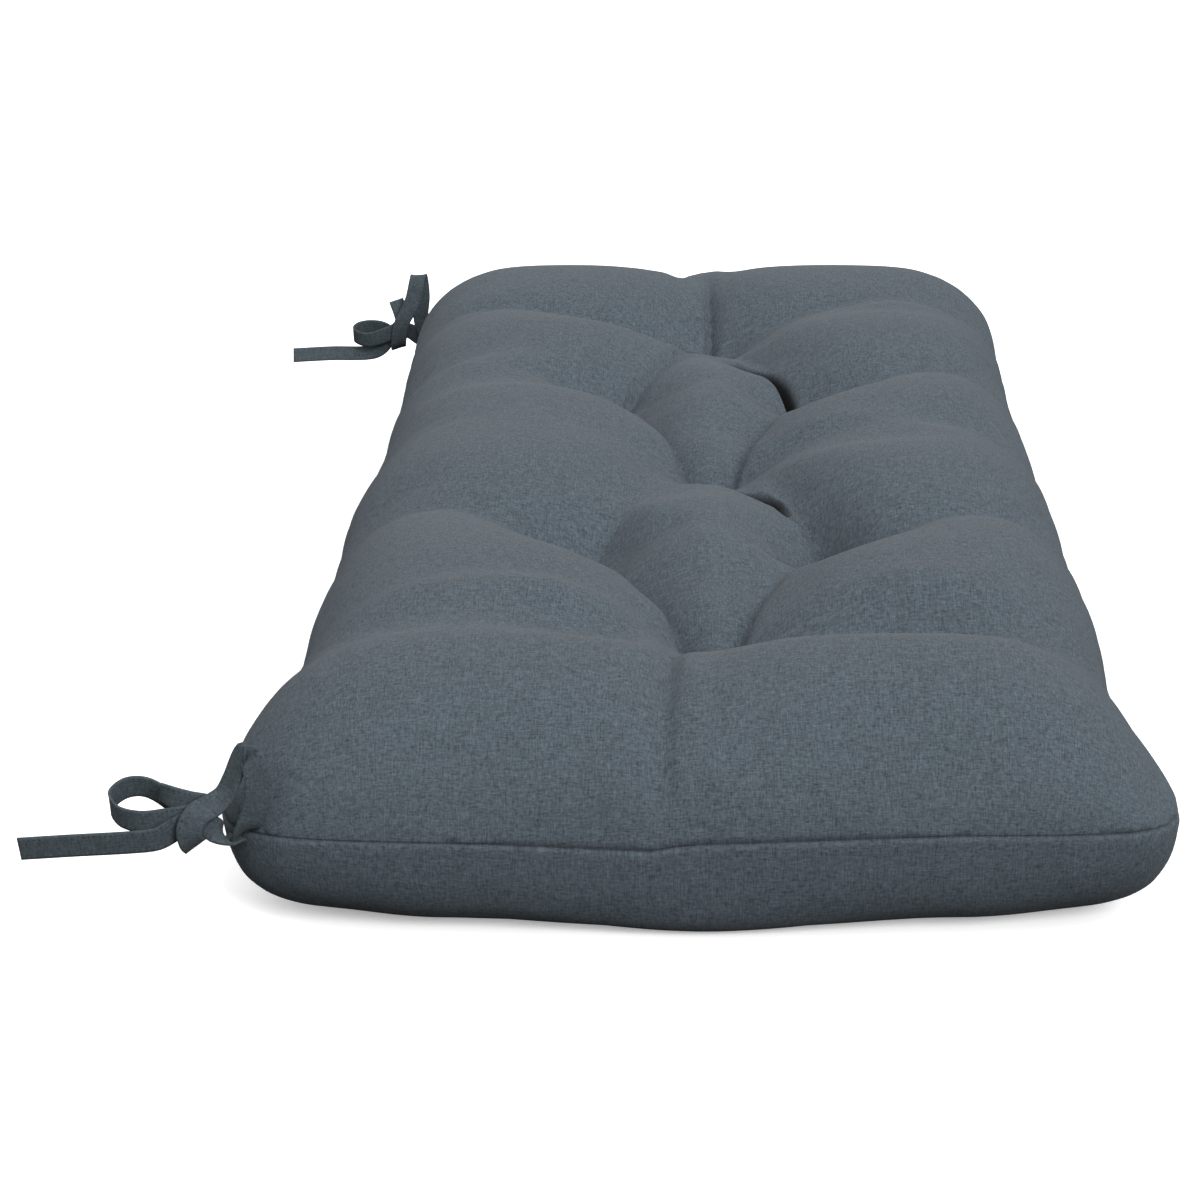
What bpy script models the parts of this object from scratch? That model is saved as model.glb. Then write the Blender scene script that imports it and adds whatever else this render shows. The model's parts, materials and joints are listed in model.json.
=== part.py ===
"""Tufted bench cushion with a pair of sewn tie straps knotted at each back corner.

Metres. X runs along the bench, +Y is the back edge that carries the ties and +Z is up.
The origin is the middle of the flat underside.
"""

import math
from collections import namedtuple

import bmesh
import bpy
import numpy as np
from mathutils import Vector
from mathutils.bvhtree import BVHTree

# Cushion: panels cut to a rounded rectangle and closed by one plain seam at mid-height.
LENGTH = 1.118
WIDTH = 0.470
SEAM_HEIGHT = 0.052
CROWN_HEIGHT = 0.1285
CORNER_RADIUS = 0.050
TOP_ROLL = 0.084          # how far in from the seam the top panel reaches its full height
UNDER_ROLL = 0.042        # how far in from the seam the bottom panel comes down to rest
UNDER_SWELL = 0.034       # how much less than that in the middle of each end
UNDER_SWELL_WIDTH = 0.075
END_BOW = 0.006           # how far the middle of an end stands out past its corners
END_BOW_REACH = 0.150     # how far in from the end that bow fades out
END_FULLNESS = 2.0        # 2 is a round edge, more is a squarer one, less a leaner one
UNDER_FULLNESS = 2.6

# Tufts: thread drawn through the filling, in rows of one and two.
TUFT_PULL = 0.080
TUFT_REACH = 0.030
CREASE_REACH = 0.019
FLAT = 0.0001             # a cage corner lower than this rests on the surface below
BLEND_POWER = 4.0         # how sharply neighbouring hollows take over from each other

Tuft = namedtuple("Tuft", "x y")
TUFTS = {
    "near": Tuft(-0.368, -0.004),
    "left_near": Tuft(-0.200, 0.070),
    "right_near": Tuft(-0.200, -0.072),
    "middle": Tuft(-0.016, -0.004),
    "left_far": Tuft(0.166, 0.060),
    "right_far": Tuft(0.166, -0.068),
    "far": Tuft(0.348, -0.004),
}

# Creases of the diamonds between tufts: depth beside the first tuft and beside the second.
Diamond = namedtuple("Diamond", "first second pull end_pull")
DIAMONDS = [
    Diamond("near", "left_near", 0.058, 0.058),
    Diamond("near", "right_near", 0.058, 0.058),
    Diamond("left_near", "middle", 0.052, 0.032),
    Diamond("right_near", "middle", 0.058, 0.058),
    Diamond("middle", "left_far", 0.058, 0.058),
    Diamond("middle", "right_far", 0.058, 0.058),
    Diamond("left_far", "far", 0.056, 0.032),
    Diamond("right_far", "far", 0.058, 0.058),
]

# Creases that run from a tuft to the seam: depth beside the tuft, where each one ends, and depth there.
EdgeCrease = namedtuple("EdgeCrease", "tuft pull end_x end_y end_pull")
EDGE_CREASES = [
    EdgeCrease("near", 0.027, -0.559, 0.016, 0.018),
    EdgeCrease("near", 0.014, -0.400, 0.235, 0.016),
    EdgeCrease("near", 0.034, -0.378, -0.235, 0.014),
    EdgeCrease("left_near", 0.056, -0.150, 0.235, 0.014),
    EdgeCrease("right_near", 0.056, -0.148, -0.235, 0.014),
    EdgeCrease("middle", 0.026, 0.028, 0.235, 0.006),
    EdgeCrease("middle", 0.050, 0.040, -0.235, 0.010),
    EdgeCrease("left_far", 0.056, 0.205, 0.235, 0.014),
    EdgeCrease("right_far", 0.056, 0.218, -0.235, 0.014),
    EdgeCrease("far", 0.050, 0.385, 0.235, 0.012),
    EdgeCrease("far", 0.050, 0.420, -0.235, 0.012),
    EdgeCrease("far", 0.034, 0.559, 0.020, 0.014),
]

# How far each long side stands out from the middle line, and how full its edge is, along the bench.
Side = namedtuple("Side", "x back front back_fullness front_fullness")
SIDES = [
    Side(-0.559, 0.242, 0.241, 1.8, 1.3),
    Side(-0.460, 0.235, 0.226, 2.0, 1.5),
    Side(-0.375, 0.219, 0.216, 2.0, 1.9),
    Side(-0.290, 0.223, 0.222, 2.0, 2.0),
    Side(-0.190, 0.221, 0.220, 2.0, 2.0),
    Side(-0.060, 0.225, 0.221, 2.0, 2.0),
    Side(0.080, 0.218, 0.220, 2.0, 2.0),
    Side(0.250, 0.221, 0.221, 2.0, 2.0),
    Side(0.440, 0.226, 0.226, 2.0, 2.0),
    Side(0.559, 0.234, 0.234, 2.0, 2.1),
]

# Cage lines from an end of the cushion to its last tuft, and between two tuft rows.
END_INSETS = (0.006, 0.020, 0.044, 0.076, 0.112, 0.150)
ROW_FRACTIONS = (0.0, 0.25, 0.5, 0.75)
SIDE_INSETS = (0.006, 0.019, 0.042, 0.072, 0.106)
MIDDLE_LINES = (-0.100, -0.068, -0.034, 0.0, 0.034, 0.068, 0.100)

# Ties: straps of folded and sewn cloth.
STRAP_WIDTH = 0.012
STRAP_THICKNESS = 0.0012
STRAP_STEP = 0.0020
MM = 0.001

# A strap's middle line, millimetres from its corner of the seam, and the direction its width lies in.
Station = namedtuple("Station", "x y z across_x across_y across_z")

NEAR_TAIL = [
    Station(-0.4, 0.4, -1.0, 0.7, 0.7, 0.0),
    Station(-4.2, 4.0, -1.4, 0.7, 0.7, 0.0),
    Station(-7.6, 7.4, 2.4, 0.4, 0.5, 0.8),
    Station(-9.2, 13.4, 8.0, 0.0, 0.0, 1.0),
    Station(-10.2, 21.2, 9.0, 0.0, 0.0, 1.0),
    Station(-11.2, 28.2, 7.0, -0.2, 0.2, 1.0),
    Station(-13.0, 37.2, 2.5, -0.2, 0.1, 1.0),
    Station(-13.6, 50.8, 1.0, -0.2, 0.0, 1.0),
    Station(-13.6, 76.8, -0.5, -0.2, 0.0, 1.0),
    Station(-12.5, 102.8, -2.6, -0.2, 0.0, 1.0),
]

NEAR_BOW = [
    Station(-0.6, 0.6, 0.8, 0.7, 0.7, 0.0),
    Station(-2.4, 2.4, 4.0, 0.9, 0.5, 0.0),
    Station(-3.4, 0.8, 16.0, 1.0, 0.1, 0.0),
    Station(-3.4, -3.8, 32.0, 1.0, 0.2, 0.0),
    Station(-3.4, -1.8, 43.5, 1.0, 0.2, 0.0),
    Station(-4.0, 3.2, 41.0, 1.0, 0.4, 0.1),
    Station(-5.6, 9.3, 31.0, 0.7, 0.7, 0.3),
    Station(-9.0, 14.8, 22.5, 0.4, 0.9, 0.3),
    Station(-12.8, 20.0, 16.0, 0.1, 1.0, 0.2),
    Station(-13.6, 21.5, 8.5, 0.0, 1.0, 0.1),
    Station(-12.6, 22.2, 0.5, 0.0, 1.0, 0.0),
    Station(-8.0, 22.8, -3.4, 0.0, 1.0, 0.0),
    Station(-2.0, 24.4, -0.6, 0.0, 0.9, 0.4),
    Station(3.2, 28.2, 6.4, 0.0, 0.4, 0.8),
    Station(6.6, 33.8, 14.6, -0.1, 0.2, 0.9),
    Station(9.4, 44.8, 20.4, -0.3, 0.0, 0.9),
    Station(8.0, 54.8, 20.4, -0.3, 0.0, 0.9),
    Station(1.4, 60.8, 16.2, -0.3, 0.0, 0.9),
    Station(-6.0, 55.8, 11.6, -0.3, 0.0, 0.9),
    Station(-9.4, 44.8, 9.8, -0.2, 0.0, 1.0),
    Station(-8.8, 32.8, 10.6, -0.1, 0.0, 1.0),
    Station(-8.2, 22.2, 12.0, 0.0, 0.0, 1.0),
    Station(-7.4, 15.0, 13.6, 0.0, 0.0, 1.0),
    Station(-5.0, 12.0, 14.6, 0.0, 0.1, 1.0),
    Station(-2.6, 15.0, 15.4, 0.0, 0.0, 1.0),
    Station(-2.8, 22.2, 16.8, 0.0, 0.0, 1.0),
    Station(-2.6, 29.2, 19.0, -0.1, 0.0, 1.0),
    Station(-0.2, 36.8, 21.6, -0.3, 0.1, 0.9),
]

FAR_TAIL = [
    Station(0.35, 0.35, -1.0, 0.7, -0.7, 0.0),
    Station(3.4, 5.0, -1.2, 0.7, -0.7, 0.0),
    Station(3.0, 10.0, 3.0, 0.5, -0.5, 0.6),
    Station(1.2, 17.0, 8.5, 0.1, -0.1, 1.0),
    Station(-0.4, 25.0, 9.5, 0.0, 0.0, 1.0),
    Station(-0.2, 32.5, 6.0, 0.1, 0.3, 1.0),
    Station(0.0, 40.5, -4.5, 0.3, 0.3, 1.0),
    Station(0.4, 52.0, -9.0, 0.6, 0.0, 0.8),
    Station(0.6, 80.0, -9.4, 0.6, 0.0, 0.8),
    Station(0.0, 107.0, -10.8, 0.6, 0.0, 0.8),
]

FAR_BOW = [
    Station(0.35, 0.35, 0.8, 0.7, -0.7, 0.0),
    Station(2.4, 2.4, 4.0, 0.7, -0.7, 0.0),
    Station(5.2, -0.6, 18.0, 0.3, -1.0, 0.1),
    Station(6.0, -1.0, 36.0, 0.1, -1.0, 0.2),
    Station(4.2, 3.0, 49.0, 0.1, -1.0, 0.2),
    Station(-0.4, 6.2, 50.6, 0.1, -1.0, 0.2),
    Station(-3.8, 8.6, 44.0, 0.1, -1.0, 0.3),
    Station(-5.2, 13.0, 34.0, 0.1, -1.0, 0.3),
    Station(-6.6, 18.0, 26.0, 0.0, -1.0, 0.3),
    Station(-7.6, 22.4, 19.0, 0.0, -1.0, 0.2),
    Station(-7.8, 24.6, 11.5, 0.0, -1.0, 0.0),
    Station(-6.2, 25.4, 0.0, 0.0, -1.0, 0.0),
    Station(-0.6, 26.0, -5.0, 0.0, -1.0, 0.0),
    Station(5.0, 27.4, -1.6, 0.0, -0.9, -0.4),
    Station(7.8, 32.0, 5.0, 0.3, -0.4, -0.8),
    Station(8.4, 40.0, 9.6, 0.3, -0.1, -0.9),
    Station(8.4, 50.0, 10.6, 0.3, 0.0, -0.9),
    Station(6.0, 58.5, 9.4, 0.3, 0.0, -0.9),
    Station(0.2, 62.0, 6.6, 0.3, 0.0, -0.9),
    Station(-5.6, 57.0, 4.2, 0.3, 0.0, -0.9),
    Station(-7.2, 48.0, 3.4, 0.2, 0.0, -1.0),
    Station(-6.0, 36.0, 7.0, 0.1, 0.0, -1.0),
    Station(-4.8, 27.0, 11.0, 0.0, -0.5, -0.8),
    Station(-4.2, 22.4, 17.0, 0.0, -0.9, -0.3),
    Station(-2.6, 23.6, 24.0, 0.1, -1.0, 0.2),
    Station(0.6, 27.6, 34.0, 0.2, -0.9, 0.4),
]


def linear(value, lows, highs):
    """Read a table at a value, holding its ends."""
    return float(np.interp(value, lows, highs))


def side_at(x, y):
    """Half the width of the cushion at x, and the fullness of its edge, on the side that y lies on."""
    stations = [side.x for side in SIDES]
    reaches = [side.back if y > 0 else side.front for side in SIDES]
    fullness = [side.back_fullness if y > 0 else side.front_fullness for side in SIDES]
    return linear(x, stations, reaches), linear(x, stations, fullness)


def round_corner(x, y):
    """Pull a point of the full rectangle in to the rounded rectangle, square rings to round ones."""
    reach_x = LENGTH / 2 - CORNER_RADIUS
    reach_y = WIDTH / 2 - CORNER_RADIUS
    past_x = abs(x) - reach_x
    past_y = abs(y) - reach_y
    if past_x <= 0 or past_y <= 0:
        return x, y
    shrink = max(past_x, past_y) / math.hypot(past_x, past_y)
    return math.copysign(reach_x + past_x * shrink, x), math.copysign(reach_y + past_y * shrink, y)


def inset_of(x, y):
    """Distance in from the edge of the full rectangle, zero on the edge."""
    return min(LENGTH / 2 - abs(x), WIDTH / 2 - abs(y))


def bow(x, y):
    """How far the filling pushes a point outwards along the bench, most in the middle of the end."""
    inset = LENGTH / 2 - abs(x)
    share = max(0.0, 1.0 - inset / END_BOW_REACH) * (1.0 - (2.0 * y / WIDTH) ** 2)
    return math.copysign(END_BOW * share, x)


def roll(inset, reach, fullness):
    """Share of the full height that a rolled edge has reached at a distance in from the seam."""
    if inset >= reach:
        return 1.0
    return (1.0 - (1.0 - max(inset, 0.0) / reach) ** fullness) ** (1.0 / fullness)


def under_reach(y):
    """How far in from the seam the underside comes down, less in the middle of the ends."""
    return UNDER_ROLL - UNDER_SWELL * math.exp(-((y / UNDER_SWELL_WIDTH) ** 2))


def hollow(x, y, start, end, pull_start, pull_end, reach):
    """Depth of one crease at a point: its pull along the line, fading away from it."""
    line = end - start
    along = max(0.0, min(1.0, (Vector((x, y)) - start).dot(line) / line.length_squared))
    distance = (Vector((x, y)) - start - line * along).length
    pull = pull_start + (pull_end - pull_start) * along
    return pull * math.exp(-distance / reach)


def tuft_hollows(x, y):
    """Depths of every tuft and crease at a point."""
    depths = []
    places = {name: Vector(tuft) for name, tuft in TUFTS.items()}
    for place in places.values():
        distance = (Vector((x, y)) - place).length
        depths.append(TUFT_PULL * math.exp(-distance / TUFT_REACH))
    for side in DIAMONDS:
        ends = (places[side.first], places[side.second])
        depths.append(hollow(x, y, *ends, side.pull, side.end_pull, CREASE_REACH))
    for crease in EDGE_CREASES:
        end = Vector((crease.end_x, crease.end_y))
        depths.append(hollow(x, y, places[crease.tuft], end, crease.pull, crease.end_pull, CREASE_REACH))
    return depths


def drawn_in(x, y):
    """Total depth of the hollows at a point, the deepest one ruling."""
    return sum(depth ** BLEND_POWER for depth in tuft_hollows(x, y)) ** (1.0 / BLEND_POWER)


def lie(x, y, level):
    """Place a cage point: level 1 is the top panel, 0 the seam and -1 the bottom panel."""
    plan_x, plan_y = round_corner(x, y)
    plan_x += bow(x, y)
    reach, side_fullness = side_at(x, y)
    plan_y *= reach / (WIDTH / 2)
    if level == 0:
        return Vector((plan_x, plan_y, SEAM_HEIGHT))
    if level < 0:
        drop = roll(inset_of(x, y), under_reach(y), UNDER_FULLNESS)
        return Vector((plan_x, plan_y, SEAM_HEIGHT * (1.0 - drop)))
    share = roll(LENGTH / 2 - abs(x), TOP_ROLL, END_FULLNESS)
    share *= roll(WIDTH / 2 - abs(y), TOP_ROLL, side_fullness)
    rise = (CROWN_HEIGHT - SEAM_HEIGHT) * share
    depth = min(drawn_in(x, y) * share, rise)
    return Vector((plan_x, plan_y, SEAM_HEIGHT + rise - depth))


def cage_lines():
    """Where the cage is cut: closer at the rims and at the tufts."""
    rows = sorted({tuft.x for tuft in TUFTS.values()})
    along = [-LENGTH / 2 + inset for inset in END_INSETS]
    for here, there in zip(rows, rows[1:]):
        along += [here + (there - here) * fraction for fraction in ROW_FRACTIONS]
    along += [rows[-1]] + [LENGTH / 2 - inset for inset in END_INSETS]
    across = list(MIDDLE_LINES)
    for inset in SIDE_INSETS:
        across += [-WIDTH / 2 + inset, WIDTH / 2 - inset]
    return along, across


def fabric(name, colour, roughness):
    """A plain woven finish."""
    material = bpy.data.materials.new(name)
    material.use_nodes = True
    shader = material.node_tree.nodes["Principled BSDF"]
    shader.inputs["Base Color"].default_value = (*colour, 1.0)
    shader.inputs["Roughness"].default_value = roughness
    shader.inputs["Metallic"].default_value = 0.0
    material.diffuse_color = (*colour, 1.0)
    return material


def mesh_object(name, mesh, material, collection):
    """Put a mesh in the collection as a named sub-part."""
    mesh.materials.append(material)
    mesh.shade_smooth()
    piece = bpy.data.objects.new(name, mesh)
    collection.objects.link(piece)
    return piece


def face_rests(face):
    """Whether a cage face lies flat on the surface below."""
    return max(vert.co.z for vert in face.verts) < FLAT


def cushion_cage(name):
    """A box of the cushion's full size, cut along the cage lines and drawn into shape."""
    cage = bmesh.new()
    bmesh.ops.create_cube(cage, size=2.0)
    for vert in cage.verts:
        vert.co = Vector((vert.co.x * LENGTH / 2, vert.co.y * WIDTH / 2, vert.co.z))
    along, across = cage_lines()
    cuts = [((x, 0, 0), (1, 0, 0)) for x in along]
    cuts += [((0, y, 0), (0, 1, 0)) for y in across]
    cuts += [((0, 0, 0), (0, 0, 1))]
    for place, normal in cuts:
        everything = cage.verts[:] + cage.edges[:] + cage.faces[:]
        bmesh.ops.bisect_plane(cage, geom=everything, plane_co=place, plane_no=normal)
    for vert in cage.verts:
        level = round(vert.co.z)
        x, y = vert.co.x, vert.co.y
        if level != 0:
            x = math.copysign(min(abs(x), LENGTH / 2 - END_INSETS[0] / 2), x)
            y = math.copysign(min(abs(y), WIDTH / 2 - SIDE_INSETS[0] / 2), y)
        vert.co = lie(x, y, level)
    inner = [vert for vert in cage.verts if all(face_rests(face) for face in vert.link_faces)]
    flat = [face for face in cage.faces if all(vert in inner for vert in face.verts)]
    bmesh.ops.dissolve_faces(cage, faces=flat, use_verts=True)
    bmesh.ops.recalc_face_normals(cage, faces=cage.faces)
    mesh = bpy.data.meshes.new(name)
    cage.to_mesh(mesh)
    cage.free()
    return mesh


def make_cushion(material, collection):
    """The filled cushion, one closed soft form."""
    cushion = mesh_object("cushion", cushion_cage("cushion"), material, collection)
    smooth = cushion.modifiers.new("Soft", "SUBSURF")
    smooth.levels = 1
    smooth.render_levels = 1
    return cushion


def corner_seat(cushion, corner_x):
    """The point of the seam at a back corner."""
    depsgraph = bpy.context.evaluated_depsgraph_get()
    surface = BVHTree.FromObject(cushion, depsgraph)
    outward = Vector((math.copysign(1.0, corner_x), 1.0, 0.0)).normalized()
    middle = Vector((math.copysign(LENGTH / 2 - CORNER_RADIUS, corner_x), WIDTH / 2 - CORNER_RADIUS, SEAM_HEIGHT))
    return surface.ray_cast(middle + outward * CORNER_RADIUS * 2, -outward)[0]


def smooth_route(stations):
    """Points of a curve through the stations, a fixed step apart, each with its width direction."""
    table = np.array([tuple(station) for station in stations])
    table[:, :3] *= MM
    knots = np.vstack([2 * table[0] - table[1], table, 2 * table[-1] - table[-2]])
    fine = []
    for before, here, there, after in zip(knots, knots[1:], knots[2:], knots[3:]):
        steps = max(2, round(np.linalg.norm((there - here)[:3]) / STRAP_STEP))
        for step in range(steps):
            t = step / steps
            leave = (there - before) / 2
            arrive = (after - here) / 2
            fine.append(
                here * (2 * t**3 - 3 * t**2 + 1)
                + leave * (t**3 - 2 * t**2 + t)
                + there * (3 * t**2 - 2 * t**3)
                + arrive * (t**3 - t**2)
            )
    fine.append(table[-1])
    fine = np.array(fine)
    tangents = np.gradient(fine[:, :3], axis=0)
    tangents /= np.linalg.norm(tangents, axis=1, keepdims=True)
    across = fine[:, 3:]
    across = across - tangents * np.sum(across * tangents, axis=1, keepdims=True)
    across /= np.linalg.norm(across, axis=1, keepdims=True)
    return fine[:, :3], across


def make_strap(name, stations, seat, material, collection):
    """A flat strap along its stations, thickened either side of its middle surface."""
    points, across = smooth_route(stations)
    bpy.ops.mesh.primitive_grid_add(x_subdivisions=len(points) - 1, y_subdivisions=1, size=2.0)
    strip = bpy.context.object
    mesh = strip.data
    for vert in mesh.vertices:
        row = round((vert.co.x + 1.0) / 2.0 * (len(points) - 1))
        vert.co = seat + Vector(points[row]) + Vector(across[row]) * vert.co.y * STRAP_WIDTH / 2
    bpy.data.objects.remove(strip)
    mesh.name = name
    strap = mesh_object(name, mesh, material, collection)
    cloth = strap.modifiers.new("Cloth", "SOLIDIFY")
    cloth.thickness = STRAP_THICKNESS
    cloth.offset = 0.0
    return strap


def main():
    for leftover in list(bpy.data.objects):
        bpy.data.objects.remove(leftover)
    collection = bpy.data.collections.new("bench_cushion")
    bpy.context.scene.collection.children.link(collection)
    cover = fabric("cover_cloth", (0.098, 0.127, 0.152), 0.92)
    tape = fabric("tie_cloth", (0.060, 0.088, 0.100), 0.92)

    cushion = make_cushion(cover, collection)
    near_seat = corner_seat(cushion, -LENGTH / 2)
    far_seat = corner_seat(cushion, LENGTH / 2)
    make_strap("tie_near_tail", NEAR_TAIL, near_seat, tape, collection)
    make_strap("tie_near_bow", NEAR_BOW, near_seat, tape, collection)
    make_strap("tie_far_tail", FAR_TAIL, far_seat, tape, collection)
    make_strap("tie_far_bow", FAR_BOW, far_seat, tape, collection)


main()
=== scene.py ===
# %% [markdown]
# # A tufted bench cushion with tie straps
# This lesson dresses a fixed frame: the solids of a bench cushion and of the four straps that tie it down.
# The frame holds the sizes. What is made here is the look: soft filled cloth with tufts, creases and a seam,
# folded and stitched straps, and a heathered weave that follows the cloth.

import json
import math

import bpy
import numpy as np
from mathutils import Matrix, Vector

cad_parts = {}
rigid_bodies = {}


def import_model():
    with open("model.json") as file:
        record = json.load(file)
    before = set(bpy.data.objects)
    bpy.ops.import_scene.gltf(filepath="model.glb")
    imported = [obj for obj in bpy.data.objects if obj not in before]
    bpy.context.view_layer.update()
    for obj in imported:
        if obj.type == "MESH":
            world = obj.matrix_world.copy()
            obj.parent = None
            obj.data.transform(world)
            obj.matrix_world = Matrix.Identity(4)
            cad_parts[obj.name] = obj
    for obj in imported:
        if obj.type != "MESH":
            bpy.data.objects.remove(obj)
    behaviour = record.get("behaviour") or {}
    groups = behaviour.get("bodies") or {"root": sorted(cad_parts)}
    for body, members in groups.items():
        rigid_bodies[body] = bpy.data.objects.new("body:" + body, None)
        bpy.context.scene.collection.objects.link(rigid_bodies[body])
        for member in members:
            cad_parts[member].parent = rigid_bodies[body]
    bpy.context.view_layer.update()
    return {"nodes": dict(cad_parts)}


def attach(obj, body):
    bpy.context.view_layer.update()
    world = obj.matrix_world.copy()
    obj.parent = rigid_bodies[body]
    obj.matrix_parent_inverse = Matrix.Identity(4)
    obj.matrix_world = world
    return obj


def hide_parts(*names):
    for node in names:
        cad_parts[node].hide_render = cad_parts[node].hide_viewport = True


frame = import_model()
MM = 0.001
print("frame pieces:", ", ".join(sorted(frame["nodes"])))

# %% [markdown]
# ## The camera
# The picture was taken from a little above one short end, with a long lens. A lens that is long for its picture
# keeps the far end from shrinking much. The cushion sits left of the middle of the lens, so the camera is
# shifted sideways instead of turned: that keeps the long sides running to the same vanishing point.

# %% Camera at the picture's angle
PICTURE = 1200
FOCAL_PIXELS = 3228
LENS_COLUMN = 705
SENSOR_MM = 36.0
LOOK_DOWN = math.radians(17)
QUARTER_TURN = math.radians(90)
CAMERA_PLACE = (-1.989, 0.0, 0.610)


def deselect_all():
    """An operator acts on all that is selected, so each step starts from nothing."""
    for thing in bpy.context.view_layer.objects:
        thing.select_set(False)


deselect_all()
bpy.ops.object.camera_add(location=CAMERA_PLACE, rotation=(QUARTER_TURN - LOOK_DOWN, 0, -QUARTER_TURN))
camera = bpy.context.object
camera.name = "picture_camera"
camera.data.sensor_width = SENSOR_MM
camera.data.lens = FOCAL_PIXELS / PICTURE * SENSOR_MM
camera.data.shift_x = (PICTURE / 2 - LENS_COLUMN) / PICTURE
bpy.context.scene.camera = camera
print(f"camera: {camera.data.lens:.1f} mm lens, {math.degrees(LOOK_DOWN):.0f} degrees down")

# %% [markdown]
# ## Floor and light
# The real cushion stands on a pale studio sweep under soft light from above and in front, so its top is even
# and its underside falls into shade. A pale floor would throw its light back up under the cushion and wash that
# shade out, as it does in a real studio before black card is laid round the set. Here the card is the lower
# half of the sky: the floor takes no part in bounced light, and what looks down sees the dark half.

# %% Floor, sky and studio light
FLOOR_SIZE = 60.0
SKY_ABOVE = 1.25                      # strength of the sky, and of the black card under it
SKY_BELOW = 0.02
CARD_EDGE = (-0.02, 0.18)             # where the card gives way to the sky, as a share of straight up
KEY_TOWARD = (-0.85, -0.55, 0.58)
KEY_DISTANCE = 3
KEY_STRENGTH = 2.65
KEY_SOFTNESS = 25                     # how many degrees of sky the light fills
WHITE = (1.0, 1.0, 1.0, 1.0)

deselect_all()
bpy.ops.mesh.primitive_plane_add(size=FLOOR_SIZE, location=(0, 0, 0))
floor = bpy.context.object
floor.name = "studio_floor"
floor.visible_diffuse = False
floor.visible_glossy = False

world = bpy.data.worlds.new("studio")
bpy.context.scene.world = world
world.use_nodes = True
sky = world.node_tree.nodes
direction = sky.new("ShaderNodeTexCoord")
height_of = sky.new("ShaderNodeSeparateXYZ")
card = sky.new("ShaderNodeMapRange")
card_range = {"From Min": CARD_EDGE[0], "From Max": CARD_EDGE[1], "To Min": SKY_BELOW, "To Max": SKY_ABOVE}
for socket_name, strength in card_range.items():
    card.inputs[socket_name].default_value = strength
world.node_tree.links.new(direction.outputs["Generated"], height_of.inputs["Vector"])
world.node_tree.links.new(height_of.outputs["Z"], card.inputs["Value"])
world.node_tree.links.new(card.outputs["Result"], sky["Background"].inputs["Strength"])
sky["Background"].inputs["Color"].default_value = WHITE

deselect_all()
aim = Vector(KEY_TOWARD).to_track_quat("Z", "Y").to_euler()
bpy.ops.object.light_add(type="SUN", location=Vector(KEY_TOWARD) * KEY_DISTANCE, rotation=aim)
key_light = bpy.context.object
key_light.name = "key_light"
key_light.data.energy = KEY_STRENGTH
key_light.data.angle = math.radians(KEY_SOFTNESS)
bpy.context.scene.view_settings.view_transform = "Standard"
print(f"lights: sky {SKY_ABOVE} and {key_light.name} {KEY_STRENGTH}")

# %% [markdown]
# ## Writing a material as sums
# A finish is a chain of nodes. Wrapping a socket in a small class lets the chain be written as plain sums:
# `shade = 1 - 0.2 * thread`. Each operator adds the Math node it stands for, whichever side the wire is on, and
# every other node comes from one method.


# %% A wrapped socket
class Wire:
    """One socket of a node tree, with arithmetic."""

    def __init__(self, tree, socket):
        self.tree = tree
        self.socket = socket

    def node(self, kind, settings=(), **sockets):
        """Add a node: its settings first, then its sockets' values or wires, by name or as _0, _1 by number."""
        made = self.tree.nodes.new(kind)
        for name, value in dict(settings).items():
            setattr(made, name, value)
        for name, value in sockets.items():
            numbered = name[0] == "_" and name[1:].isdigit()
            socket = made.inputs[int(name[1:]) if numbered else name.replace("_", " ")]
            if isinstance(value, Wire):
                self.tree.links.new(value.socket, socket)
            else:
                socket.default_value = value
        return made

    def out(self, made, name=0):
        """A wire from one of a node's outputs."""
        return Wire(self.tree, made.outputs[name])

    def math(self, operation, *values):
        """A Math node on this wire and up to two more values."""
        inputs = {f"_{index}": value for index, value in enumerate((self, *values))}
        return self.out(self.node("ShaderNodeMath", {"operation": operation}, **inputs))

    def __add__(self, other):
        return self.math("ADD", other)

    def __mul__(self, other):
        return self.math("MULTIPLY", other)

    def __sub__(self, other):
        return self.math("SUBTRACT", other)

    def __rsub__(self, other):
        return (self * -1.0).math("ADD", other)

    def __truediv__(self, other):
        return self.math("DIVIDE", other)

    def __rtruediv__(self, other):
        return self.math("POWER", -1.0) * other

    __radd__ = __add__
    __rmul__ = __mul__


print("wires ready:", Wire.__name__)

# %% [markdown]
# ## The cloth
# The cover is a heathered plain weave: yarns of slightly different blue-greys cross each other, and thicker slubs
# run a centimetre or two along the warp and the weft. An image could be tiled over it, but a pattern worked out
# from the cloth's own flat coordinates has no joins and stays sharp. The UV map is in metres of flat cloth, so a
# yarn is as wide on the crown as it is down the sides. Deep in a fold less light arrives than a render of this
# length can work out, so the cover's colour is also darkened there as painted shade, by a value that the folding
# step writes to its points.

# %% The heathered weave
CLOTH_MAP = "Cloth"
FOLD_SHADE = "Fold"
# how strongly the painted shade darkens the cover's colour deep in a fold
PAINTED_FOLD_SHADE = 0.95
YARN = 0.9 * MM
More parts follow.
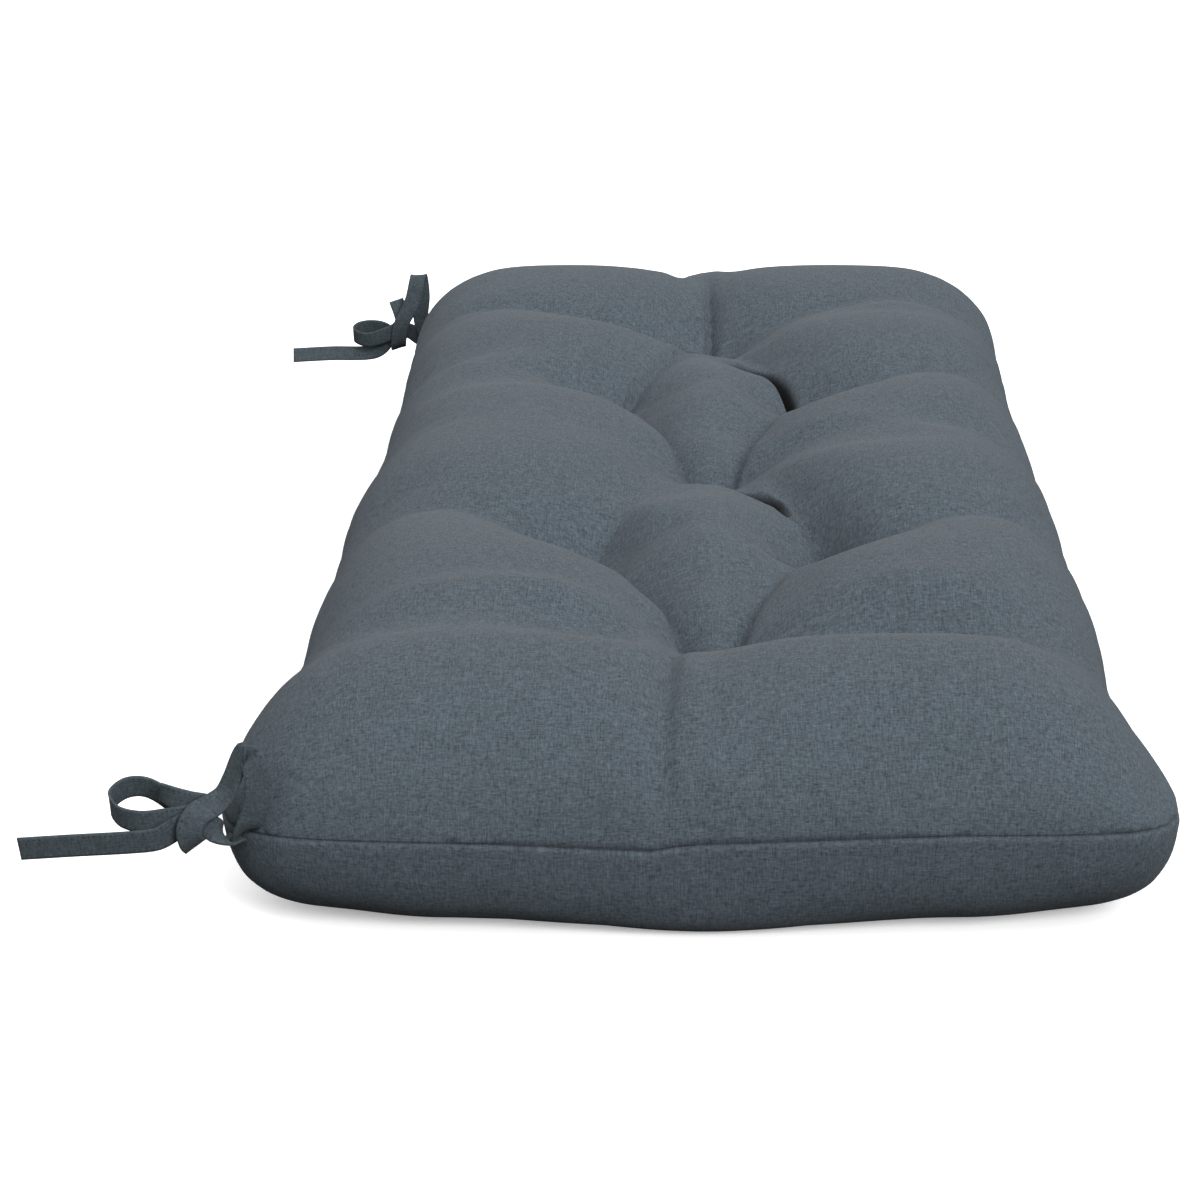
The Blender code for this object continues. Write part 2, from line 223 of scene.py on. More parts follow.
# Each kind of streak: its length along the warp, its length along the weft, and a seed of its own.
WARP_STREAK = (5 * MM, 0.75 * MM, 3.1)
WEFT_STREAK = (0.75 * MM, 4 * MM, 7.7)
WARP_SLUB = (16 * MM, 1.1 * MM, 11.3)
WEFT_SLUB = (1.1 * MM, 12 * MM, 5.9)
FLECK = (1.3 * MM, 1.3 * MM, 1.7)
BROAD_PATCH = (90 * MM, 90 * MM, 9.1)
SLUB_SHARE = 0.3
FLECK_SHARE = 0.9
DARKEST_TONE = 0.3
STRAP_WIDTH = 12 * MM
STITCH_INSET = 1.7 * MM
STITCH_LENGTH = 2.6 * MM
THREAD_REACH = 0.45 * MM
MATT_CLOTH = {"Roughness": 0.92, "Specular IOR Level": 0.08, "Sheen Weight": 0.04, "Sheen Roughness": 0.5}


def cloth_material(name, colour, contrast, stitched=False):
    """A matt heathered weave in metres of flat cloth: the cover's, or a strap's with stitches near both edges."""
    material = bpy.data.materials.new(name)
    material.use_nodes = True
    tree = material.node_tree
    shader = tree.nodes["Principled BSDF"]
    start = Wire(tree, None)
    flat = start.out(start.node("ShaderNodeUVMap", {"uv_map": CLOTH_MAP}))
    split = start.node("ShaderNodeSeparateXYZ", Vector=flat)
    along, across = start.out(split, "X"), start.out(split, "Y")

    def streaks(length, width, seed, detail=2.0):
        """Noise drawn out along one way of the cloth, from -1 to 1."""
        stretched = start.out(start.node("ShaderNodeCombineXYZ", X=along / length, Y=across / width, Z=seed))
        noise = start.node("ShaderNodeTexNoise", Vector=stretched, Scale=1.0, Detail=detail)
        return start.out(noise, "Fac") * 2.0 - 1.0

    warp = streaks(*WARP_STREAK)
    weft = streaks(*WEFT_STREAK)
    slubs = streaks(*WARP_SLUB) + streaks(*WEFT_SLUB)
    fleck = streaks(*FLECK, detail=3.0)
    heather = (warp + weft) * contrast + slubs * (contrast * SLUB_SHARE) + fleck * (contrast * FLECK_SHARE)
    tone = 1.0 + heather + streaks(*BROAD_PATCH) * 0.05

    over = (along * (2 * math.pi / YARN)).math("SINE") * (across * (2 * math.pi / YARN)).math("SINE")
    height = over * 0.25 + warp * 0.35 + weft * 0.35
    if stitched:
        off_line = (across.math("ABSOLUTE") - STRAP_WIDTH / 2 + STITCH_INSET).math("ABSOLUTE")
        thread_line = 1.0 - (off_line / THREAD_REACH).math("MINIMUM", 1.0)
        on_top = (along * (2 * math.pi / STITCH_LENGTH)).math("SINE").math("GREATER_THAN", -0.55)
        stitch = thread_line * on_top
        # painted shade: the stitch groove is darkened, and the thread lying on top is made lighter
        tone = (tone + thread_line * -0.45 + stitch * 0.65).math("MAXIMUM", DARKEST_TONE)
        height = height + stitch * 1.2 - thread_line * 1.4
    else:
        # painted shade: the Fold value darkens the cover's colour deep in the folds, where little light reaches
        fold = start.out(start.node("ShaderNodeAttribute", {"attribute_name": FOLD_SHADE}), "Fac")
        tone = tone.math("MAXIMUM", DARKEST_TONE) * (1.0 - fold * PAINTED_FOLD_SHADE)
    base = start.node("ShaderNodeVectorMath", {"operation": "SCALE"}, _0=colour, Scale=tone)
    tree.links.new(base.outputs["Vector"], shader.inputs["Base Color"])
    bump = start.node("ShaderNodeBump", Strength=0.35, Distance=0.25 * MM, Height=height)
    tree.links.new(bump.outputs["Normal"], shader.inputs["Normal"])
    for socket_name, value in MATT_CLOTH.items():
        shader.inputs[socket_name].default_value = value
    return material


COVER_BLUE = (0.0562, 0.0703, 0.0829)
STRAP_BLUE = (0.046, 0.0585, 0.067)
cover_cloth = cloth_material("heathered_cover", COVER_BLUE, 0.54)
strap_cloth = cloth_material("heathered_strap", STRAP_BLUE, 0.42, stitched=True)
print("cloth materials:", cover_cloth.name, strap_cloth.name)

# %% [markdown]
# ## The sweep
# In the studio the sweep is lit a little from behind as well, so it burns out to white and keeps only a faint
# shade where the cushion touches it. A small glow of its own does the same here.

# %% The floor's paint
SWEEP_PAINT = {
    "Base Color": (0.95, 0.95, 0.95, 1.0),
    "Roughness": 0.9,
    "Emission Color": WHITE,
    "Emission Strength": 0.3,
}

floor_paint = bpy.data.materials.new("pale_floor")
floor_paint.use_nodes = True
for socket_name, value in SWEEP_PAINT.items():
    floor_paint.node_tree.nodes["Principled BSDF"].inputs[socket_name].default_value = value
floor.data.materials.append(floor_paint)
print("floor painted:", floor_paint.name)

# %% [markdown]
# ## The cushion's own plan
# Seven blind tufts pull the cover down: thread goes right through the filling, so the cloth folds in towards
# each of them. Creases join the tufts in diamonds, and others run out to the seam. No two are alike: two are
# open slots, some are soft valleys, and in some the fuller pillow leans over the fold. The table gives each
# crease as a curved line in plan with the depth of its sharp part at both ends and in the middle, its width on
# either side, and how far the pillow on one side leans over it. A second table says where the filling has
# slipped and lies low or high. A fold in a table row can be tuned on its own, which a painted one can't.

# %% Tufts and creases
from collections import namedtuple

LENGTH = 1.118
WIDTH = 0.470
SEAM_HEIGHT = 0.052
CROWN_HEIGHT = 0.1285
TOP_ROLL = 0.084
UNDER_ROLL = 0.042

NEAR = (-0.368, -0.004)
LEFT_NEAR = (-0.200, 0.070)
RIGHT_NEAR = (-0.200, -0.072)
MIDDLE = (-0.016, -0.004)
LEFT_FAR = (0.166, 0.060)
RIGHT_FAR = (0.166, -0.068)
FAR = (0.348, -0.004)
TUFTS = (NEAR, LEFT_NEAR, RIGHT_NEAR, MIDDLE, LEFT_FAR, RIGHT_FAR, FAR)

# Lengths in millimetres. A bend moves the middle of the line to the left of its run. A lean is how far the
# pillow on the left leans over the fold, or with a minus the pillow on the right. Held is how firmly the
# filling leaves the fold alone, 0 to 1.
Crease = namedtuple("Crease", "start end bend cut_start cut_middle cut_end left right lean held")
CREASES = [
    Crease((-0.383, 0.006), LEFT_NEAR, -8, 16, 11, 8, 4.0, 9.0, 3, 0.9),
    Crease((-0.383, -0.013), RIGHT_NEAR, 7, 13, 5, 2, 9.0, 4.0, -3, 0.8),
    Crease(LEFT_NEAR, MIDDLE, 0, 8, 1, 0, 6.0, 9.0, 0, 0.5),
    Crease((-0.074, -0.016), (-0.140, -0.050), 4, 18, 32, 4, 3.4, 1.8, -3, 0.9),
    Crease((-0.030, 0.006), LEFT_FAR, -4, 15, 10, 8, 4.0, 9.0, 3, 0.9),
    Crease((-0.030, -0.014), RIGHT_FAR, 5, 13, 6, 2, 9.0, 4.0, -3, 0.8),
    Crease(LEFT_FAR, FAR, 0, 12, 8, 0, 2.5, 8.0, 0, 0.6),
    Crease((0.266, -0.020), (0.140, -0.062), 11, 24, 32, 8, 3.6, 1.8, -3, 0.9),
    Crease(RIGHT_NEAR, (-0.078, -0.040), -3, 16, 14, 4, 3.0, 16.0, 0, 0.8),
    Crease(RIGHT_NEAR, MIDDLE, 0, 6, 3, 6, 5.0, 6.0, 0, 0.6),
    Crease(RIGHT_FAR, FAR, -4, 6, 3, 5, 5.0, 6.0, 0, 0.6),
    Crease((-0.400, 0.014), (-0.562, 0.0205), 0, 4, 11, 8, 2.8, 5.0, 0, 0.4),
    Crease((-0.345, 0.125), (-0.400, 0.205), 0, 0.5, 1.5, 1, 6.0, 6.0, 0, 0.0),
    Crease(NEAR, (-0.384, -0.200), -8, 8, 1, 2, 12.0, 16.0, 0, 0.1),
    Crease(LEFT_NEAR, (-0.158, 0.222), -4, 8, 4, 2, 12.0, 9.0, 2, 0.5),
    Crease(RIGHT_NEAR, (-0.154, -0.222), 4, 10, 8, 3, 9.0, 20.0, -1, 0.6),
    Crease(MIDDLE, (0.030, -0.205), 6, 9, 5, 2, 14.0, 20.0, 0, 0.3),
    Crease(LEFT_FAR, (0.198, 0.215), -4, 7, 1, 0, 12.0, 9.0, 0, 0.3),
    Crease(RIGHT_FAR, (0.211, -0.215), 4, 9, 8, 3, 9.0, 20.0, -1, 0.6),
    Crease(FAR, (0.380, 0.210), -4, 10, 8, 3, 24.0, 8.0, 1, 0.6),
    Crease(FAR, (0.412, -0.205), 8, 9, 8, 3, 12.0, 24.0, 0, 0.4),
    Crease(FAR, (0.515, -0.002), 0, 12, 10, 1, 2.5, 5.0, 0, 0.6),
    Crease((0.480, 0.020), (0.562, 0.024), 0, 2, 17, 16, 3.5, 3.0, 0, 0.2),
]
# Where the filling sits low or high: place, reach along and across, and how far up, in millimetres.
Swell = namedtuple("Swell", "place along across up")
SWELLS = [
    Swell((-0.405, -0.108), 36, 66, -27),
    Swell((-0.356, -0.115), 22, 60, 8),
    Swell((-0.425, 0.070), 28, 50, -9),
    Swell((-0.382, 0.075), 22, 45, 8),
    Swell((-0.168, 0.032), 26, 16, 5),
    Swell((-0.068, 0.030), 34, 26, -6),
    Swell((0.530, -0.004), 34, 15, 5),
    Swell((-0.432, 0.160), 28, 50, -5),
    Swell((-0.385, 0.165), 22, 45, 5),
    Swell((0.118, 0.145), 28, 60, -4),
    Swell((0.182, 0.140), 24, 60, 6),
    Swell((-0.036, -0.105), 26, 55, -4),
    Swell((0.018, -0.110), 22, 50, 5),
    Swell((0.345, -0.135), 26, 55, -3),
    Swell((0.392, -0.140), 22, 50, 4),
]
LINE_STEPS = 24
CREASE_MARGIN = 50 * MM               # no crease acts on points further off than this


def crease_line(crease):
    """Points along a crease in plan: a straight line whose middle is pushed sideways."""
    start, end = np.array(crease.start), np.array(crease.end)
    run = end - start
    left = np.array([-run[1], run[0]]) / np.linalg.norm(run)
    share = np.linspace(0, 1, LINE_STEPS + 1)[:, None]
    return start + run * share + left * crease.bend * MM * 4 * share * (1 - share)


def place_on_line(everywhere, crease):
    """For points of the plan: distance from a crease, left of it positive, the share along, and the way left."""
    line = crease_line(crease)
    inside = (everywhere > line.min(axis=0) - CREASE_MARGIN) & (everywhere < line.max(axis=0) + CREASE_MARGIN)
    inside = inside.all(axis=1)
    plan = everywhere[inside]
    nearest = np.full(len(plan), np.inf)
    signed = np.zeros(len(plan))
    along = np.zeros(len(plan))
    leftward = np.zeros((len(plan), 2))
    for step, (here, there) in enumerate(zip(line, line[1:])):
        run = there - here
        share = np.clip((plan - here) @ run / (run @ run), 0, 1)
        gap = plan - here - share[:, None] * run
        away = np.linalg.norm(gap, axis=1)
        closer = away < nearest
        left = np.array([-run[1], run[0]]) / np.linalg.norm(run)
        nearest = np.where(closer, away, nearest)
        signed = np.where(closer, np.copysign(away, gap @ left), signed)
        along = np.where(closer, (step + share) / LINE_STEPS, along)
        leftward = np.where(closer[:, None], left, leftward)
    results = np.full(len(everywhere), CREASE_MARGIN * 2), np.zeros(len(everywhere)), np.zeros((len(everywhere), 2))
    for result, found in zip(results, (signed, along, leftward)):
        result[inside] = found
    return results


def tuft_distance(plan):
    """How far points of the plan are from the nearest tuft."""
    return np.min([np.linalg.norm(plan - np.array(tuft), axis=1) for tuft in TUFTS], axis=0)


print(len(TUFTS), "tufts,", len(CREASES), "creases")

# %% [markdown]
# ## Filling the cushion
# A real cushion gets its look from pressure: filling pushes the cover out, and thread and seam hold it back.
# Cloth physics does the same. The solid is copied, remeshed in even squares, let down a little and blown up
# again, while the tufts, the creases, the seam and the flat underside are held. Sculpting by hand could give
# the pillows too, but the physics gives the small pulls between a tuft and a pillow for nothing.


# %% Helpers for points
def points_of(mesh):
    """A mesh's points as an array."""
    points = np.zeros(len(mesh.vertices) * 3)
    mesh.vertices.foreach_get("co", points)
    return points.reshape(-1, 3)


def set_points(mesh, points):
    """Put an array back as the mesh's points."""
    mesh.vertices.foreach_set("co", np.ascontiguousarray(points, dtype=np.float64).ravel())
    mesh.update()


def normals_of(mesh):
    """A mesh's point normals as an array."""
    normals = np.zeros(len(mesh.vertices) * 3)
    mesh.vertex_normals.foreach_get("vector", normals)
    return normals.reshape(-1, 3)


def centres_of(mesh):
    """The middles of a mesh's faces."""
    centres = np.zeros(len(mesh.polygons) * 3)
    mesh.polygons.foreach_get("center", centres)
    return centres.reshape(-1, 3)


def make_only(piece):
    """Leave one piece selected and active."""
    deselect_all()
    piece.select_set(True)
    bpy.context.view_layer.objects.active = piece


def apply_modifier(piece, name):
    """Apply one modifier, with only that piece selected."""
    make_only(piece)
    bpy.ops.object.modifier_apply(modifier=name)


def select_faces(piece, chosen):
    """Select those faces and no others, ready for an edit-mode operator."""
    mesh = piece.data
    mesh.vertices.foreach_set("select", np.zeros(len(mesh.vertices), dtype=bool))
    mesh.edges.foreach_set("select", np.zeros(len(mesh.edges), dtype=bool))
    mesh.polygons.foreach_set("select", chosen)
    make_only(piece)
    bpy.ops.object.mode_set(mode="EDIT")
    bpy.ops.mesh.select_mode(type="FACE")


print("point helpers ready")

# %% Copy the solid and remesh it
VOXEL = 7.6 * MM
MERGE = 0.01 * MM
REST_BAND = 1.5 * MM

cushion = bpy.data.objects.new("cushion_cover", frame["nodes"]["cushion"].data.copy())
bpy.context.scene.collection.objects.link(cushion)
cushion.data.materials.clear()
cushion.data.materials.append(cover_cloth)
make_only(cushion)
bpy.ops.object.mode_set(mode="EDIT")
bpy.ops.mesh.select_all(action="SELECT")
bpy.ops.mesh.remove_doubles(threshold=MERGE)
bpy.ops.object.mode_set(mode="OBJECT")
remesh = cushion.modifiers.new("Even squares", "REMESH")
remesh.mode = "VOXEL"
remesh.voxel_size = VOXEL
apply_modifier(cushion, "Even squares")
print("cushion after the remesh:", len(cushion.data.polygons), "faces")

# %% Hold the tufts, creases, seam and underside
SEAM_BAND = 5 * MM
HOLD_WIDTH = 6 * MM
TUFT_HOLD = 12 * MM

start_points = points_of(cushion.data)
plan = start_points[:, :2]
on_top = start_points[:, 2] > SEAM_HEIGHT + SEAM_BAND
held = np.zeros(len(start_points))
for crease in CREASES:
    away = place_on_line(plan, crease)[0]
    held = np.maximum(held, crease.held * np.exp(-((away / HOLD_WIDTH) ** 2)) * on_top)
held = np.maximum(held, np.clip(1.6 - tuft_distance(plan) / TUFT_HOLD, 0, 1) * on_top)
held = np.where(np.abs(start_points[:, 2] - SEAM_HEIGHT) < SEAM_BAND, 1.0, held)
held = np.where(start_points[:, 2] < REST_BAND, 1.0, held)

hold_group = cushion.vertex_groups.new(name="held")
levels = np.round(held, 2)
for level in np.unique(levels[levels > 0]):
    hold_group.add(np.flatnonzero(levels == level).tolist(), float(level), "REPLACE")
print(f"held points: {int((held > 0.5).sum())} of {len(held)}")

# %% Let it down a little and fill it
LET_DOWN = 4.5 * MM
PRESSURE = 4.0
FRAMES = 20
CLOTH_SHRINK = -0.02                  # with a minus the cloth may grow, here by a fiftieth
LARGEST_MOVE = 9 * MM
KEEP_ABOVE = 0.45                     # how much of the swelling stays on the crown, and below the seam
KEEP_BELOW = 0.12
KEEP_RISE = 40 * MM                   # how far above the seam the crown's share is reached

set_points(cushion.data, start_points - normals_of(cushion.data) * (LET_DOWN * (1 - held))[:, None])
cloth = cushion.modifiers.new("Filling", "CLOTH")
cloth.settings.quality = 5
cloth.settings.use_pressure = True
cloth.settings.uniform_pressure_force = PRESSURE
cloth.settings.vertex_group_mass = "held"
cloth.settings.shrink_min = CLOTH_SHRINK
cloth.settings.effector_weights.gravity = 0
cloth.point_cache.frame_start = 1
cloth.point_cache.frame_end = FRAMES
for step in range(1, FRAMES + 1):
    bpy.context.scene.frame_set(step)
apply_modifier(cushion, "Filling")
bpy.context.scene.frame_set(1)
moved = points_of(cushion.data) - start_points
reach = np.linalg.norm(moved, axis=1)
moved *= np.minimum(1.0, LARGEST_MOVE / np.maximum(reach, 1e-9))[:, None]
crown_share = np.clip((start_points[:, 2] - SEAM_HEIGHT) / KEEP_RISE, 0, 1)
keep = KEEP_BELOW + (KEEP_ABOVE - KEEP_BELOW) * crown_share
set_points(cushion.data, start_points + moved * keep[:, None])
print(f"filled: moved {reach.mean() / MM:.1f} mm on average, {reach.max() / MM:.1f} mm at most")
cushion.vertex_groups.clear()

# %% [markdown]
# ## Finer cloth where it folds
# A fold a few millimetres wide needs faces smaller than that. Everything is divided once, the faces beside the
# sharp creases once more, and those beside the two slots a third time. One fine mesh all over would be many
# times as heavy and look the same.

# %% Divide the cloth
SETTLE_STEPS = 4
FINE_REACH = 10 * MM
SLOT_REACH = 8 * MM
SLOTS = (CREASES[3], CREASES[7])


def crease_reach(plan, creases):
    """Distance of points of the plan from the nearest of these creases."""
    return np.min([np.abs(place_on_line(plan, crease)[0]) for crease in creases], axis=0)


def divide_faces(piece, chosen):
    """Cut the chosen faces in four."""
    select_faces(piece, chosen)
    bpy.ops.mesh.subdivide(number_cuts=1, smoothness=0, quadcorner="INNERVERT")
    bpy.ops.object.mode_set(mode="OBJECT")


settle = cushion.modifiers.new("Settle", "SMOOTH")
settle.factor = 0.5
settle.iterations = SETTLE_STEPS
apply_modifier(cushion, "Settle")
finer = cushion.modifiers.new("Finer", "SUBSURF")
finer.levels = 1
finer.render_levels = 1
apply_modifier(cushion, "Finer")
middles = centres_of(cushion.data)
fine_creases = CREASES[:8] + CREASES[-2:]
divide_faces(cushion, (middles[:, 2] > SEAM_HEIGHT) & (crease_reach(middles[:, :2], fine_creases) < FINE_REACH))
middles = centres_of(cushion.data)
divide_faces(cushion, (middles[:, 2] > SEAM_HEIGHT) & (crease_reach(middles[:, :2], SLOTS) < SLOT_REACH))
print("cushion:", len(cushion.data.polygons), "faces")

# %% [markdown]
# ## Folding the creases
# Each point near a crease sinks by the sharp part of the fold, steeply on one side and gently on the other.
# Where a pillow leans over the fold, its edge is raised a little and moved sideways across the line, so that
# from the front the fold is a dark slot under a soft lip, as on the real cushion. In the deepest folds the
# cover's colour is also darkened, as painted shade. The squares of the mesh don't run along the lines, so a
# few steps of smoothing then take out their stairs.

# %% Sink and lean
TUFT_DIMPLE = 7 * MM
TUFT_WIDTH = 9 * MM
TOP_FADE = 22 * MM                    # how far above the seam the folds are at full depth
ROUND_OFF = 0.35                      # how rounded the bottom of a fold is, as a share of its width
LEAN_START = 1.5 * MM                 # a leaning edge starts, peaks and fades this far from its fold
LEAN_PEAK = 5 * MM
LEAN_FADE = 14 * MM
LIP = 0.25                            # how far a leaning edge also rises, as a share of its lean
SLOT_DEPTH = 13 * MM                  # folds deeper than this are in shade below SHADE_BELOW
SHADE_BELOW = 6 * MM


def fold_creases(points, normals):
    """Move the points of the top panel into the creases, and say how deep in shade each ends up."""
    shade = np.zeros(len(points))
    plan = points[:, :2]
    top = np.clip((points[:, 2] - SEAM_HEIGHT) / TOP_FADE, 0, 1) * np.clip(normals[:, 2] * 2 + 1, 0, 1)
    cut = TUFT_DIMPLE * np.exp(-((tuft_distance(plan) / TUFT_WIDTH) ** 2))
    lift = np.zeros(len(points))
    slide = np.zeros((len(points), 2))
    for crease in CREASES:
        away, along, leftward = place_on_line(plan, crease)
        depth = np.interp(along, (0, 0.5, 1), (crease.cut_start, crease.cut_middle, crease.cut_end)) * MM
        width = np.where(away > 0, crease.left, crease.right) * MM
        round_off = width * ROUND_OFF
        sunk = depth * np.exp(-(np.hypot(away, round_off) - round_off) / width)
        cut = np.maximum(cut, sunk)
        slot = np.clip((depth - SLOT_DEPTH) / SLOT_DEPTH, 0, 1)
        shade = np.maximum(shade, slot * np.clip(sunk / SHADE_BELOW - 0.3, 0, 1))
        leaning = np.abs(away) * (np.sign(away) == np.sign(crease.lean))
        rise = np.clip((leaning - LEAN_START) / (LEAN_PEAK - LEAN_START), 0, 1)
        rise = rise * rise * (3 - 2 * rise) * np.exp(-np.maximum(leaning - LEAN_PEAK, 0) / LEAN_FADE)
        rise *= depth / (max(crease.cut_start, crease.cut_middle, crease.cut_end) * MM)
        rise *= np.sin(math.pi * np.clip(along, 0.02, 0.98)) ** 0.6
        lift = np.maximum(lift, rise * abs(crease.lean) * LIP * MM)
        slide -= leftward * (rise * crease.lean * MM)[:, None]
    for swell in SWELLS:
        offset = (plan - np.array(swell.place)) / (np.array([swell.along, swell.across]) * MM)
        lift += swell.up * MM * np.exp(-np.sum(offset**2, axis=1))
    points[:, 2] += (lift - cut) * top
    points[:, :2] += slide * top[:, None]
    return points, shade * top


folded, shade = fold_creases(points_of(cushion.data), normals_of(cushion.data))
set_points(cushion.data, folded)
# painted shade: how deep in shade each point lies, kept for the cover's colour to be darkened by
fold_layer = cushion.data.attributes.new(FOLD_SHADE, "FLOAT", "POINT")
fold_layer.data.foreach_set("value", shade.astype(np.float32))
print("creases folded, points in shade:", int((shade > 0.5).sum()))

# %% Ease the folded lines
EASE_REACH = 9 * MM
EASE_STEPS = 3

plan = points_of(cushion.data)[:, :2]
soft_creases = [crease for crease in CREASES if crease not in SLOTS]
beside_fold = (crease_reach(plan, soft_creases) < EASE_REACH) & (crease_reach(plan, SLOTS) > SLOT_REACH)
beside_fold &= points_of(cushion.data)[:, 2] > SEAM_HEIGHT + SEAM_BAND
cushion.vertex_groups.new(name="folded").add(np.flatnonzero(beside_fold).tolist(), 1.0, "REPLACE")
ease = cushion.modifiers.new("Ease", "SMOOTH")
ease.vertex_group = "folded"
ease.factor = 0.5
ease.iterations = EASE_STEPS
apply_modifier(cushion, "Ease")
cushion.vertex_groups.clear()
print("folded lines eased at", int(beside_fold.sum()), "points")

# %% [markdown]
# ## The under-edge
# The filling is thinner in the corners, so below the seam the cover tapers in there and its corners lift a
# little off the bench. Moving the points inwards, more the lower they are, gives that roundness.

# %% Round the under-edge
TUCK_REACH = 42 * MM
TUCK_EDGE = 5 * MM                    # how far an edge moves in, and how much further a corner does
TUCK_CORNER = 15 * MM
CORNER_START = 2.6 * TUCK_REACH       # how far from the edge a corner's share begins
CORNER_RUN = 1.8 * TUCK_REACH         # and over what length it grows
HALF_SIZE = np.array([LENGTH, WIDTH]) / 2

points = points_of(cushion.data)
low = np.clip(1 - points[:, 2] / SEAM_HEIGHT, 0, 1)
past = np.maximum(np.abs(points[:, :2]) - (HALF_SIZE - 2 * TUCK_REACH), 0) / TUCK_REACH
corner = np.abs(points[:, :2]) - (HALF_SIZE - CORNER_START)
corner = np.clip(corner / CORNER_RUN, 0, 1)
corner = (corner**2 * (3 - 2 * corner)).prod(axis=1)
inward = -np.sign(points[:, :2]) * past / np.maximum(np.linalg.norm(past, axis=1), 1)[:, None]
points[:, :2] += inward * (low**2 * (TUCK_EDGE + TUCK_CORNER * corner))[:, None]
set_points(cushion.data, points)
print("under-edge tucked in by up to", (TUCK_EDGE + TUCK_CORNER) / MM, "mm")

# %% [markdown]
# ## The seam
# The two panels are joined by a plain seam, turned inside, that runs all round at mid-height. Such a seam shows
# as a narrow groove with a soft lip on either side. The mesh is cut by three level planes at the seam, and the
# middle line is pushed in. After that the whole seam is let wander up and down a few millimetres, because a
# filled cover never keeps it level.

# %% Cut and groove the seam
SEAM_HALF = 1.0 * MM
SEAM_DEPTH = 1.8 * MM
SEAM_LIP = 0.6 * MM
LIP_ABOVE = 3.2                       # where the lips swell most, and their width, in millimetres
LIP_BELOW = 3.0
LIP_WIDTH = 2.2
UNDER_LIP_SHARE = 0.7
SEAM_WAVE_REACH = 16 * MM
LONG_WANDER = 0.9 * MM                # along the sides the seam wanders in a long wave and a short one
SHORT_WANDER = 0.6 * MM
NEAR_END_START = 0.40                 # the near end has a wave of its own, which starts and grows here
NEAR_END_RUN = 0.10
# Places across the near end and how far the seam stands above its level there, in millimetres.
NEAR_END_WAVE = ((-220, 3.0), (-185, 4.0), (-120, 4.4), (-50, 2.4), (0, 0.6), (14, -0.6), (26, -2.8), (40, -2.0),
                 (100, 0.4), (220, 2.0))

make_only(cushion)
for offset in (-SEAM_HALF, 0.0, SEAM_HALF):
    bpy.ops.object.mode_set(mode="EDIT")
    bpy.ops.mesh.select_all(action="SELECT")
    bpy.ops.mesh.bisect(plane_co=(0, 0, SEAM_HEIGHT + offset), plane_no=(0, 0, 1))
    bpy.ops.object.mode_set(mode="OBJECT")
points = points_of(cushion.data)
outward = normals_of(cushion.data) * np.array([1.0, 1.0, 0.0])
above = (points[:, 2] - SEAM_HEIGHT) / MM
groove = np.clip(1 - np.abs(above) * MM / SEAM_HALF, 0, 1)
lip = np.exp(-((above - LIP_ABOVE) / LIP_WIDTH) ** 2)
lip += UNDER_LIP_SHARE * np.exp(-((above + LIP_BELOW) / LIP_WIDTH) ** 2)
points += outward * (SEAM_LIP * lip - SEAM_DEPTH * groove)[:, None]
near_end = np.clip((-points[:, 0] - NEAR_END_START) / NEAR_END_RUN, 0, 1)
table = np.array(NEAR_END_WAVE) * MM
wave = np.interp(points[:, 1], table[:, 0], table[:, 1]) * near_end
wander = LONG_WANDER * np.sin(points[:, 0] * 31 + 1.3)
wander += SHORT_WANDER * np.sin(points[:, 0] * 67 + points[:, 1] * 20)
wave += wander * (1 - near_end)
points[:, 2] += wave * np.exp(-((above * MM) / SEAM_WAVE_REACH) ** 2)
set_points(cushion.data, points)
print("seam cut and grooved, wandering by up to", round(float(np.abs(wave).max()) / MM, 1), "mm")

# %% [markdown]
# ## The flat underside
# Where the cushion rests on the bench its cloth is pressed flat: what is lower than the rest band goes down to
# the bench, and the rest of the under-edge is drawn down evenly after it. Nothing on the flat part needs a grid
# of small faces, so they are dissolved into one.

# %% Rest on the bench
below = points[:, 2] < SEAM_HEIGHT
settled = np.maximum(points[:, 2] - REST_BAND, 0) * SEAM_HEIGHT / (SEAM_HEIGHT - REST_BAND)
points[:, 2] = np.where(below, settled, points[:, 2])
set_points(cushion.data, points)
heights = points_of(cushion.data)[:, 2]
corners = np.zeros(len(cushion.data.loops), dtype=np.int32)
cushion.data.loops.foreach_get("vertex_index", corners)
firsts = np.zeros(len(cushion.data.polygons), dtype=np.int32)
cushion.data.polygons.foreach_get("loop_start", firsts)
select_faces(cushion, np.maximum.reduceat(heights[corners], firsts) == 0.0)
bpy.ops.mesh.dissolve_faces(use_verts=False)
bpy.ops.object.mode_set(mode="OBJECT")
cushion.data.shade_smooth()
triangles = sum(len(face.vertices) - 2 for face in cushion.data.polygons)
print("cushion:", len(cushion.data.polygons), "faces,", triangles, "triangles")

# %% [markdown]
# ## A flat map for the weave
# The cover was cut from flat cloth, one panel above the seam and one below. To lay the weave as the cutter did,
# each point gets the place it had on the flat panel: its place in plan over the crown, and further out down
# the rolled edges, where the cloth runs down instead of outwards.

# %% Unroll the panels
EASE_IN = 0.35                        # the share of a roll over which the cloth starts to run outwards
UNDER_PANEL_PLACE = np.array([2.0, 0.0])   # metres, so that the two panels lie side by side


def unroll(plan, rise, roll_reach, roll_height):
    """Where points lay on the flat panel: moved outwards by what a rolled edge is longer than its plan."""
    past = np.maximum(np.abs(plan) - (HALF_SIZE - roll_reach), 0)
    outward = np.sign(plan) * past / np.maximum(np.linalg.norm(past, axis=1), EASE_IN * roll_reach)[:, None]
    angle = np.arcsin(np.clip(rise / roll_height, 0, 1))
    quarter = math.pi / 2 * math.sqrt((roll_reach**2 + roll_height**2) / 2)
    longer = quarter * (1 - angle / (math.pi / 2)) - roll_reach * np.cos(angle)
    return plan + outward * longer[:, None]


